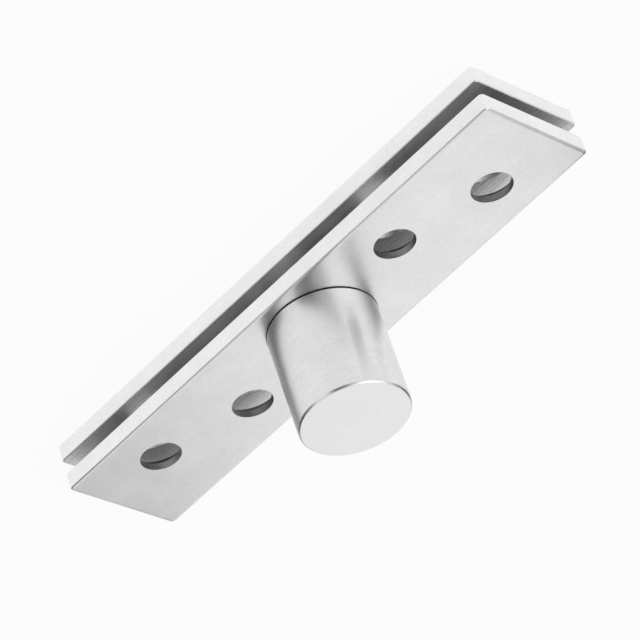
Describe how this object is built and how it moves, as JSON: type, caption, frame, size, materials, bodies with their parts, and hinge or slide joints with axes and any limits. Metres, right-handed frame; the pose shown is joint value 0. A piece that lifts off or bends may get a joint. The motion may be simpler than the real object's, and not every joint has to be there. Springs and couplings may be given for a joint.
{
  "type": "pivot hinge",
  "caption": "Pivot hinge: two flat steel leaves turn without a stop about a bearing spindle inside a closed barrel, which is let into the door.",
  "frame": {"origin": "on the pivot axis, in the base leaf's underside, which rests on the floor", "axes": "+Z along the pivot axis, from the base leaf to the barrel's closed end; X along the leaves; Y across them"},
  "size_m": [0.13, 0.03, 0.0365],
  "materials": {
    "leaf_steel": "brushed along the leaf, satin",
    "turned_steel": "fine turned, satin",
    "bearing_steel": "ground and polished",
    "pressed_steel": "plain pressed sheet",
    "spring_steel": "oiled spring steel",
    "cage_brass": "plain machined",
    "cage_polyamide": "moulded, natural"
  },
  "bodies": {
    "base": {"base_leaf": "leaf_steel", "spindle": "turned_steel", "lower_bearing_inner_ring": "bearing_steel", "inner_spacer": "turned_steel", "upper_bearing_inner_ring": "bearing_steel", "spindle_circlip": "spring_steel", "thrust_lower_washer": "bearing_steel"},
    "door": {"door_leaf": "leaf_steel", "barrel": "turned_steel", "barrel_flange": "turned_steel", "lower_bearing_outer_ring": "bearing_steel", "lower_bearing_bottom_shield": "pressed_steel", "lower_bearing_top_shield": "pressed_steel", "outer_spacer": "turned_steel", "upper_bearing_outer_ring": "bearing_steel", "upper_bearing_bottom_shield": "pressed_steel", "upper_bearing_top_shield": "pressed_steel", "barrel_snap_ring": "spring_steel", "thrust_upper_washer": "bearing_steel"},
    "lower_rollers": {"lower_bearing_balls": "bearing_steel", "lower_bearing_cage": "cage_polyamide"},
    "upper_rollers": {"upper_bearing_balls": "bearing_steel", "upper_bearing_cage": "cage_polyamide"},
    "thrust_rollers": {"thrust_balls": "bearing_steel", "thrust_cage": "cage_brass"}
  },
  "joints": [
    {"name": "door_swing", "type": "hinge", "parent": "base", "child": "door", "pos_m": [0, 0, 0.0115], "axis": [0, 0, 1], "continuous": true},
    {"name": "lower_cage_roll", "type": "hinge", "parent": "base", "child": "lower_rollers", "pos_m": [0, 0, 0.013], "axis": [0, 0, 1], "continuous": true},
    {"name": "upper_cage_roll", "type": "hinge", "parent": "base", "child": "upper_rollers", "pos_m": [0, 0, 0.023], "axis": [0, 0, 1], "continuous": true},
    {"name": "thrust_cage_roll", "type": "hinge", "parent": "base", "child": "thrust_rollers", "pos_m": [0, 0, 0.0305], "axis": [0, 0, 1], "continuous": true}
  ],
  "couplings": [
    {"joint": "lower_cage_roll", "follows": "door_swing", "ratio": 0.5821},
    {"joint": "upper_cage_roll", "follows": "door_swing", "ratio": 0.5821},
    {"joint": "thrust_cage_roll", "follows": "door_swing", "ratio": 0.5}
  ]
}
